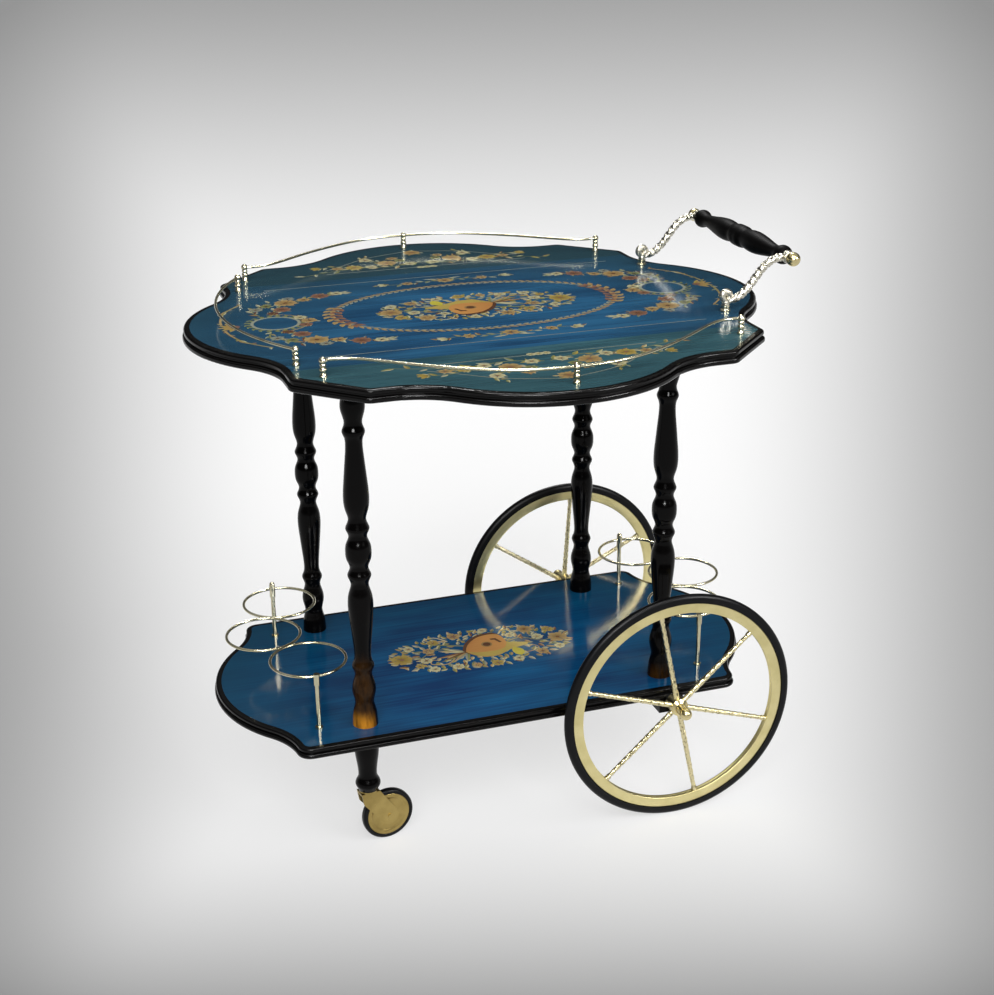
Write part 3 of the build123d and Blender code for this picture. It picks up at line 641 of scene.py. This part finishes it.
def rounded(profile, radius, closed=False):
    """Profile with its corners eased by small curves."""
    count = len(profile)
    eased = []
    for i, (u, r) in enumerate(profile):
        if not closed and i in (0, count - 1):
            eased.append((u, r))
            continue
        here = Vector((u, r))
        before = Vector(profile[i - 1]) - here
        after = Vector(profile[(i + 1) % count]) - here
        start = here + before.normalized() * min(radius, 0.45 * before.length)
        end = here + after.normalized() * min(radius, 0.45 * after.length)
        for step in range(5):
            t = step / 4
            point = start * (1 - t) ** 2 + here * 2 * t * (1 - t) + end * t**2
            eased.append((point.x, point.y))
    return eased


def skin(rings, loop=False):
    """Corners and faces of a skin over rings of equally many points, with flat ends or joined end to end."""
    count = len(rings[0])
    corners = [point for ring in rings for point in ring]
    faces = []
    for i in range(len(rings) if loop else len(rings) - 1):
        low, high = i * count, (i + 1) % len(rings) * count
        for k in range(count):
            n = (k + 1) % count
            faces.append((low + k, low + n, high + n, high + k))
    if not loop:
        faces.append(tuple(range(count)))
        faces.append(tuple(range(len(corners) - count, len(corners))))
    return corners, faces


crease = math.radians(38)


def make(name, shells, material, body, replaced):
    """Join closed shells into one smooth piece that rides on a body and stands for a piece of the frame."""
    mesh = bpy.data.meshes.new(name)
    shape = bmesh.new()
    for corners, faces in shells:
        points = [shape.verts.new(corner) for corner in corners]
        for face in faces:
            shape.faces.new([points[i] for i in face])
    bmesh.ops.recalc_face_normals(shape, faces=shape.faces)
    shape.to_mesh(mesh)
    shape.free()
    mesh.materials.append(material)
    mesh.shade_smooth()
    mesh.set_sharp_from_angle(angle=crease)
    piece = set_out(name, mesh)
    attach(piece, body)
    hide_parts(replaced)


def arc_profile(centre, radius, low, high, steps):
    """Profile points along a ball's outline, between two angles in degrees from its lower pole."""
    turns = [math.radians(low + (high - low) * i / steps) for i in range(steps + 1)]
    return [(centre - radius * math.cos(a), max(radius * math.sin(a), 0.02 * mm)) for a in turns]


def tube(path, across, sides, radius):
    """Rings round a path that stays square to one direction, with a radius given by length and turn."""
    points = [Vector(p) for p in path]
    rings = []
    run = 0.0
    for i, point in enumerate(points):
        run += (point - points[i - 1]).length if i else 0.0
        ahead = (points[min(i + 1, len(points) - 1)] - points[max(i - 1, 0)]).normalized()
        out = across.cross(ahead)
        around = full_turn(sides)
        rings.append([point + (out * math.cos(a) + across * math.sin(a)) * radius(run, a) for a in around])
    return rings


post_flange = 4.8 * mm
post_ball = 4.7 * mm
rail_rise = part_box("front_rail_posts")[1].z - post_ball - tray_top
post_line = [(0, post_flange), (2.2 * mm, post_flange), (3 * mm, 4.1 * mm), (4.4 * mm, 3.6 * mm)]
post_line += arc_profile(0.45 * rail_rise, 4.5 * mm, 45, 135, 10)
post_line += [(0.65 * rail_rise, 3.5 * mm), (0.7 * rail_rise, 4.1 * mm), (0.75 * rail_rise, 4.1 * mm)]
post_line += arc_profile(rail_rise, post_ball, 45, 180, 14)


def gallery_post(x, y):
    """One turned post: flange, bead, collar and ball."""
    return skin(lathe(post_line, (x, y, tray_top), (0, 0, 1), 32))


for side, sy in (("front", -1), ("back", 1)):
    low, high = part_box(side + "_rail_posts")
    inner, outer = (low.y + post_flange, high.y - post_flange)[::sy]
    places = [(low.x + post_flange, inner), (mid_x, outer), (high.x - post_flange, inner)]
    shells = [gallery_post(x, y) for x, y in places]
    make(side + "_turned_posts", shells, pale_brass, side + "_leaf", side + "_rail_posts")
low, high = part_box("end_rail_posts")
shells = [gallery_post(low.x + post_flange, y) for y in (low.y + post_flange, high.y - post_flange)]
make("end_turned_posts", shells, pale_brass, "frame", "end_rail_posts")
rail_low, rail_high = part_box("end_rail")
wire_r = (rail_high.z - rail_low.z) / 2
chord = high.y - post_flange
bow_share = 0.855  # this wire bows a little less than the frame has it
bow = bow_share * (low.x + post_flange - rail_low.x - wire_r)
bend_r = (chord**2 + bow**2) / (2 * bow)
bend_x = low.x + post_flange - bow + bend_r
sweep = [math.asin(chord / bend_r) * (i / 32 - 1) for i in range(65)]
line = [(bend_x - bend_r * math.cos(a), bend_r * math.sin(a), rail_high.z - wire_r) for a in sweep]
wire = skin(tube(line, Vector((0, 0, 1)), 16, lambda run, turn: wire_r))
make("end_bent_rail", [wire], pale_brass, "frame", "end_rail")

# Handle: two cast arms with a leaf relief that curl at the foot, on short posts, and a turned black
# grip between them on a rod with a ball nut at each end.
arm_r = 5.6 * mm
arm_plan = [(0, 0), (0.1, 0), (0.22, 0.07), (0.36, 0.28), (0.49, 0.57)]
arm_plan += [(0.61, 0.82), (0.75, 0.98), (0.87, 1.02), (0.96, 1.01)]
relief_pitch = 11 * mm


def cast_metal(name, bright, pits):
    """Cast brass plated pale: raised work is polished bright, and the hollows that the buff doesn't reach
    stay dark. The hollows are drawn 3 mm apart, coarser than life, so that they show."""
    material, tree, shader, place = new_finish(name, {"Metallic": 1.0, "Roughness": 0.28})
    worked = put(tree, "ShaderNodeTexNoise", {"Vector": place, "Scale": 1 / (3 * mm), "Detail": 2.0})
    level = two_tones(tree, shader, worked, 0.34, 0.45, pits, bright)
    hollow = {"Height": level, "Strength": 0.5, "Distance": 0.4 * mm}
    tree.links.new(put(tree, "ShaderNodeBump", hollow).outputs[0], shader.inputs["Normal"])
    return material


def cast_relief(radius):
    """Radius of a cast bar whose surface is worked with twisted leaves and small beads between them."""

    def height(run, turn):
        leaves_round = math.cos(3 * turn + 2 * math.pi * run / relief_pitch)
        beads_along = math.cos(4 * math.pi * run / relief_pitch)
        return radius * (0.94 + 0.09 * leaves_round + 0.06 * beads_along)

    return height


def middle_and_half(node):
    """Middle of a frame piece's box, and half of its size."""
    low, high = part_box(node)
    return (low + high) / 2, (high - low) / 2


cast_brass = cast_metal("pale cast brass, plated", "#c9c5b6", "#4c4838")
foot_low, foot_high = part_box("handle_posts")
hand_x = (foot_low.x + foot_high.x) / 2
grip = middle_and_half("handle_grip")[0]
arm_base = foot_high.z + arm_r + 1.4 * mm
curl_r = 5.4 * mm
eye_half, eye_r = 6 * mm, 8.6 * mm
for side in ("front", "back"):
    y = middle_and_half(side + "_handle_arm")[0].y
    rise = [(hand_x + u * (grip.x - hand_x), arm_base + w * (grip.z - arm_base)) for u, w in arm_plan]
    path = [(x, y, z) for x, z in smooth(rise, 16)]
    bar = skin(tube(path, Vector((0, 1, 0)), 24, cast_relief(arm_r)))
    thick = 0.83 * arm_r
    curl_rings = []
    for a in full_turn(48):
        out = Vector((-math.sin(a), 0, -math.cos(a)))
        middle = Vector((hand_x, y, arm_base + curl_r)) + out * curl_r
        ways = [out * math.cos(b) + Vector((0, math.sin(b), 0)) for b in full_turn(20)]
        curl_rings.append([middle + way * thick for way in ways])
    eye_line = [(-eye_half, 4 * mm), (-eye_half, eye_r), (eye_half, eye_r), (eye_half, 4 * mm)]
    eye = skin(lathe(rounded(eye_line, 2 * mm), (grip.x, y, grip.z), (0, 1, 0), 40))
    seat_line = rounded([(0, 5 * mm), (4 * mm, 5 * mm), (7 * mm, 4 * mm)], 1 * mm)
    seat = skin(lathe(seat_line, (hand_x, y, foot_high.z), (0, 0, 1), 24))
    shells = [bar, skin(curl_rings, True), eye, seat]
    make(side + "_cast_arm", shells, cast_brass, "frame", side + "_handle_arm")
dress(black_lacquer("black lacquered beech, satin", 0.5, 0.05), "handle_grip")
foot_rise = foot_high.z - tray_top
handle_foot = [(0, 7 * mm), (2.4 * mm, 7 * mm), (3.4 * mm, 5.2 * mm), (foot_rise - 3 * mm, 5 * mm)]
handle_foot += [(foot_rise - 2.4 * mm, 5.8 * mm), (foot_rise, 5.8 * mm)]
shells = []
for y in (foot_low.y, foot_high.y):
    at = (hand_x, y - math.copysign((foot_high.x - foot_low.x) / 2, y), tray_top)
    shells.append(skin(lathe(rounded(handle_foot, 0.8 * mm), at, (0, 0, 1), 32)))
make("handle_turned_posts", shells, pale_brass, "frame", "handle_posts")
brass = polished_metal("yellow brass, polished and lacquered", "#d6ca9c", "#bfb07c", 0.22)
dress(brass, "handle_nuts")
steel = polished_metal("drawn steel rod", "#a3a4a4", "#838482", 0.3)
dress(steel, "handle_rod")

# Leaf hinges: two brass hinges fixed under each joint of the top and turning on steel pins. They show
# when a leaf hangs.
dress(brass, "hinge_plates", "front_hinge_flaps", "back_hinge_flaps")
dress(steel, "hinge_pins")

# Bottle holders: three brazed wire rings at each end of the shelf, held by two tubes with a collar at
# the top and a flange on the board.
dress(pale_brass, "left_bottle_rings", "right_bottle_rings", "bottle_posts")

# Big wheels: a rolled brass rim with a solid rubber tyre pressed on, six slim cast spokes and a turned
# hub that runs on the axle behind a ball cap.
spoke_count = 6
wheel_turns = {"front": 42.0, "back": 26.0}
rim_depth = 14.5 * mm
spoke_root, spoke_bite = 9 * mm, 3 * mm
hub_sleeve, rim_sleeve, sleeve_r = 12 * mm, 9 * mm, 3.9 * mm
band_pitch = 8 * mm
spoke_brass = cast_metal("cast brass spoke, lacquered", "#d9cea4", "#6f6646")
rim_brass = polished_metal("pale brass rim, rolled and lacquered", "#ded29c", "#d0c48c", 0.3)
dress(brass, "front_wheel_hub", "back_wheel_hub", "axle_caps")
dress(steel, "axle", "axle_washers")


def black_rubber(name):
    """Solid rubber tyre: near black, with a soft gloss line, a fine grain and a thin grey bloom of dust."""
    material, tree, shader, place = new_finish(name, {"Roughness": 0.36, "Specular IOR Level": 0.16})
    dust = put(tree, "ShaderNodeTexNoise", {"Vector": place, "Scale": 1 / (30 * mm), "Detail": 4.0})
    two_tones(tree, shader, dust, 0.35, 0.75, "#050506", "#0c0c0f")
    grit = put(tree, "ShaderNodeTexNoise", {"Vector": place, "Scale": 1 / (0.8 * mm), "Detail": 2.0})
    bump = put(tree, "ShaderNodeBump", {"Height": grit, "Strength": 0.2, "Distance": 0.1 * mm})
    tree.links.new(bump.outputs[0], shader.inputs["Normal"])
    return material


rubber = black_rubber("black solid rubber, moulded")

inputs = (("Spoke", "Geometry"), ("Spoke count", "Int"), ("Hub centre", "Vector"))
inputs += (("First spoke turn", "Float"), ("Metal", "Material"))
spoke_ring, given = new_tree("spokes round a hub", "Spokes", inputs)
one_spoke = put(spoke_ring, "GeometryNodeGeometryToInstance", {0: given["Spoke"]})
copies = {"Geometry": one_spoke, "Amount": given["Spoke count"]}
many = put(spoke_ring, "GeometryNodeDuplicateElements", copies, domain="INSTANCE")
whole_turn = {0: -2 * math.pi, 1: given["Spoke count"]}
share = put(spoke_ring, "ShaderNodeMath", whole_turn, operation="DIVIDE")
steps_on = {0: many.outputs["Duplicate Index"], 1: share, 2: given["First spoke turn"]}
turn_by = put(spoke_ring, "ShaderNodeMath", steps_on, operation="MULTIPLY_ADD")
about = put(spoke_ring, "ShaderNodeCombineXYZ", {"Y": turn_by})
swing = {"Instances": many, "Rotation": about, "Local Space": False}
swung = put(spoke_ring, "GeometryNodeRotateInstances", {**swing, "Pivot Point": given["Hub centre"]})
whole = put(spoke_ring, "GeometryNodeRealizeInstances", {"Geometry": swung})
plated = {"Geometry": whole, "Material": given["Metal"]}
put(spoke_ring, "NodeGroupOutput", {0: put(spoke_ring, "GeometryNodeSetMaterial", plated)})


def spoke_relief(length):
    """Radius along a spoke: plain sleeves at the hub and the rim, and a tapering worked shaft with bands."""

    def height(run, turn):
        if run < hub_sleeve or run > length - rim_sleeve:
            return sleeve_r
        shaft = (3.7 - 0.9 * run / length) * mm
        worked = 0.09 * math.cos(3 * turn + 2 * math.pi * run / relief_pitch)
        bands = 0.12 * math.cos(2 * math.pi * run / band_pitch) ** 6
        return shaft * (1 + worked + bands)

    return height


for side in ("front", "back"):
    body = side + "_wheel"
    centre, tyre_half = middle_and_half(body + "_tyre")
    wheel_r, half = tyre_half.zy
    rim_r, rim_half = middle_and_half(body + "_rim")[1].zy
    rim_in = rim_r - rim_depth
    bow = [math.radians(d) for d in range(0, 181, 12)]
    crown = [(half * math.cos(a), rim_r + (wheel_r - rim_r) * (0.4 + 0.6 * math.sin(a))) for a in bow]
    tyre = skin(lathe([(half, rim_r)] + crown + [(-half, rim_r)], centre, (0, 1, 0), 128), True)
    make(side + "_rubber_tyre", [tyre], rubber, body, side + "_wheel_tyre")
    lips = [(rim_half, rim_in), (rim_half, rim_r), (-rim_half, rim_r), (-rim_half, rim_in)]
    hollow = [(-0.5 * rim_half, rim_in), (0, rim_in + 1.4 * mm), (0.5 * rim_half, rim_in)]
    rim = skin(lathe(rounded(lips + hollow, 1.3 * mm, True), centre, (0, 1, 0), 128), True)
    make(side + "_rolled_rim", [rim], rim_brass, body, side + "_wheel_rim")
    start, end = spoke_root, rim_in + spoke_bite
    path = [centre + Vector((start + (end - start) * i / 180, 0, 0)) for i in range(181)]
    shaft = skin(tube(path, Vector((0, 1, 0)), 18, spoke_relief(end - start)))
    mesh = bpy.data.meshes.new("spoke")
    mesh.from_pydata(shaft[0], [], shaft[1])
    carrier = set_out("spoke", mesh)
    values = {"Spoke count": spoke_count, "Hub centre": centre, "Metal": spoke_brass}
    values["First spoke turn"] = -math.radians(wheel_turns[side])
    piece = plain_mesh(carrier, side + "_cast_spokes", spoke_ring, values)
    piece.data.shade_smooth()
    piece.data.set_sharp_from_angle(angle=crease)
    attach(piece, body)
    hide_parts(side + "_wheel_spokes")

# Casters: a stamped brass fork on a swivel stem, with a stamped brass disc and a thin rubber tyre
# turning on a pin between its cheeks. Both were left swung a little to one side.
caster_swing = math.radians(9.0)
caster_axis = (-math.sin(caster_swing), math.cos(caster_swing), 0)
tread_half, lip_half, web_half, hub_half = 5.6 * mm, 5.2 * mm, 3.6 * mm, 6.6 * mm
caster_brass = polished_metal("caster brass, stamped and lacquered", "#ab965c", "#927e4a", 0.3)
dress(caster_brass, "caster_sockets", "front_caster_fork", "back_caster_fork")
dress(caster_brass, "front_caster_pin", "back_caster_pin")
for side in ("front", "back"):
    centre, caster_half = middle_and_half(side + "_caster_tyre")
    radius = caster_half.z
    disc_r = middle_and_half(side + "_caster_disc")[1].z
    body = side + "_caster_wheel"
    tread = [(tread_half, disc_r), (tread_half, radius - 2.2 * mm), (tread_half - 2 * mm, radius)]
    tyre_line = rounded(tread + [(-u, r) for u, r in reversed(tread)], 1.6 * mm, True)
    tyre = skin(lathe(tyre_line, centre, caster_axis, 80), True)
    make(side + "_caster_rubber", [tyre], rubber, body, side + "_caster_tyre")
    flank = [(hub_half, 3.1 * mm), (hub_half, 8 * mm), (web_half, 9.5 * mm), (web_half, disc_r - 8 * mm)]
    flank += [(lip_half, disc_r - 5 * mm), (lip_half, disc_r)]
    disc_line = rounded(flank + [(-u, r) for u, r in reversed(flank)], 1.2 * mm, True)
    stamped = skin(lathe(disc_line, centre, caster_axis, 80), True)
    make(side + "_caster_stamped_disc", [stamped], caster_brass, body, side + "_caster_disc")

# Floor, light and camera: a pale paper sweep whose colour carries a painted pool of light that widens towards
# the back, a room with pale walls and a soft ceiling, soft front lights, slim lamps that only glint, and the
# photograph's viewpoint.
far_tone = 0.3
floor_mesh = bpy.data.meshes.new("floor")
reach = 30.0
square = [(-reach, -reach, 0), (reach, -reach, 0), (reach, reach, 0), (-reach, reach, 0)]
floor_mesh.from_pydata(square, [], [(0, 1, 2, 3)])
floor = set_out("floor", floor_mesh)
matt = {"Roughness": 0.9, "Specular IOR Level": 0.1}
paper, tree, shader, place = new_finish("pale paper sweep, matt, painted pool of light", matt)
# Painted pool of light: the paper's colour, and the glow that the camera sees, are pale in a fan that widens
# away from the camera's foot and painted grey towards the sides, the far back and the near front.
pool_turn = math.radians(18.4)
pool_origin = Vector((0.67 - mid_x, 2.09, 0))
start = Matrix.Rotation(pool_turn, 3, "Z") @ pool_origin
aisle = put(tree, "ShaderNodeMapping", {"Vector": place, "Location": start, "Rotation": (0, 0, pool_turn)})
run = put(tree, "ShaderNodeSeparateXYZ", {0: aisle})
ahead = put(tree, "ShaderNodeMath", {0: run.outputs["Y"], 1: 0.3}, operation="MAXIMUM")
long = put(tree, "ShaderNodeMath", {0: ahead, 1: 0.5}, operation="ADD")
fan = put(tree, "ShaderNodeMath", {0: run.outputs["X"], 1: long}, operation="DIVIDE")
fan_out = put(tree, "ShaderNodeMath", {0: fan}, operation="ABSOLUTE")
near = put(tree, "ShaderNodeMath", {0: 1.0, 1: ahead}, operation="DIVIDE")
total = 0.0
fades = ((fan_out, 0.1, 0.32, 0.64), (near, 0.235, 0.0, 0.75), (near, 0.44, 0.72, 0.9))
for source, clear, dim, most in fades:
    ends = {"Value": source, "From Min": clear, "From Max": dim, "To Max": most}
    fade = put(tree, "ShaderNodeMapRange", ends, interpolation_type="SMOOTHSTEP")
    steep = put(tree, "ShaderNodeMath", {0: fade, 1: 4.0}, operation="POWER")
    total = put(tree, "ShaderNodeMath", {0: steep, 1: total}, operation="ADD")
shade = put(tree, "ShaderNodeMath", {0: total, 1: 0.25}, operation="POWER")
painted_pool = put(tree, "ShaderNodeMath", {0: 1.0, 1: shade}, operation="SUBTRACT")
tone = put(tree, "ShaderNodeMath", {0: painted_pool, 1: far_tone}, operation="MAXIMUM").outputs[0]
tree.links.new(tone, shader.inputs["Base Color"])
rays = put(tree, "ShaderNodeLightPath")
shiny = {0: rays.outputs["Is Glossy Ray"], 1: rays.outputs["Is Transmission Ray"]}
mirrored_ray = put(tree, "ShaderNodeMath", shiny, operation="MAXIMUM")
level = put(tree, "ShaderNodeMath", {0: tone, 1: mirrored_ray}, operation="MAXIMUM")
glow = put(tree, "ShaderNodeEmission", {"Color": level, "Strength": 1.0})
seen = put(tree, "ShaderNodeMath", {0: rays.outputs["Is Camera Ray"], 1: mirrored_ray}, operation="MAXIMUM")
glow_share = 0.65
part_glow = put(tree, "ShaderNodeMath", {0: seen, 1: glow_share}, operation="MULTIPLY")
sweep = put(tree, "ShaderNodeMixShader", {0: part_glow, 1: shader, 2: glow})
tree.links.new(sweep.outputs[0], tree.nodes["Material Output"].inputs["Surface"])
floor_mesh.materials.append(paper)

room = bpy.data.worlds.new("room with pale walls and a soft ceiling")
room.use_nodes = True
tree = room.node_tree
way = put(tree, "ShaderNodeTexCoord").outputs["Generated"]
up = put(tree, "ShaderNodeSeparateXYZ", {0: way}).outputs["Z"]
ends = {"Value": up, "From Min": 0.35, "From Max": 0.8, "To Min": 0.015, "To Max": 0.5}
ceiling = put(tree, "ShaderNodeMapRange", ends, interpolation_type="SMOOTHSTEP")
ends = {"Value": up, "From Min": 0.02, "From Max": 0.16, "To Min": far_tone, "To Max": 0.0}
walls = put(tree, "ShaderNodeMapRange", ends, interpolation_type="SMOOTHSTEP")
both = put(tree, "ShaderNodeMath", {0: ceiling, 1: walls}, operation="ADD")
tree.links.new(both.outputs[0], tree.nodes["Background"].inputs["Strength"])
tree.nodes["Background"].inputs["Color"].default_value = linear("#ffffff")
bpy.context.scene.world = room


def hang(name, lamp, place):
    """Put a lamp at a place, facing the cart."""
    holder = set_out(name, lamp)
    holder.location = place
    aim = Vector((0, 0, 0.45)) - Vector(place)
    holder.rotation_euler = aim.to_track_quat("-Z", "Y").to_euler()
    return holder


soft_lights = (("soft front light", (-1.0, -3.0, 3.0), 2.1), ("soft right light", (2.2, -2.4, 3.1), 1.3))
for name, place, strength in soft_lights:
    broad = bpy.data.lights.new(name, "SUN")
    broad.energy = strength
    broad.angle = math.radians(40)
    hang(name, broad, place).visible_glossy = False
glints = [("front glint", (-1.0, -3.1, 1.95), 1.4, 0.4, 95), ("right glint", (2.15, -2.4, 2.0), 1.4, 0.4, 95)]
glints += [("back glint", (0.8, 2.6, 3.6), 1.4, 0.4, 95), ("high strip", (-0.5, -1.7, 3.5), 3.0, 0.4, 100)]
for name, place, wide, tall, power in glints:
    small = bpy.data.lights.new(name, "AREA")
    small.shape = "ELLIPSE"
    small.size = wide
    small.size_y = tall
    small.energy = power
    holder = hang(name, small, place)
    holder.visible_diffuse = holder.visible_camera = False

viewer_place = Vector((mid_x - 0.66863, -2.08576, 1.28445))
yaw, pitch, roll = (math.radians(a) for a in (18.4095, 21.3637, 0.5112))
camera = bpy.data.cameras.new("camera")
camera.angle = math.radians(33.506)
viewer = set_out("camera", camera)
viewer.location = viewer_place
tilted = Matrix.Rotation(math.pi / 2 - pitch, 4, "X") @ Matrix.Rotation(-roll, 4, "Z")
viewer.rotation_euler = (Matrix.Rotation(-yaw, 4, "Z") @ tilted).to_euler()
bpy.context.scene.camera = viewer
bpy.context.scene.view_settings.view_transform = "Standard"
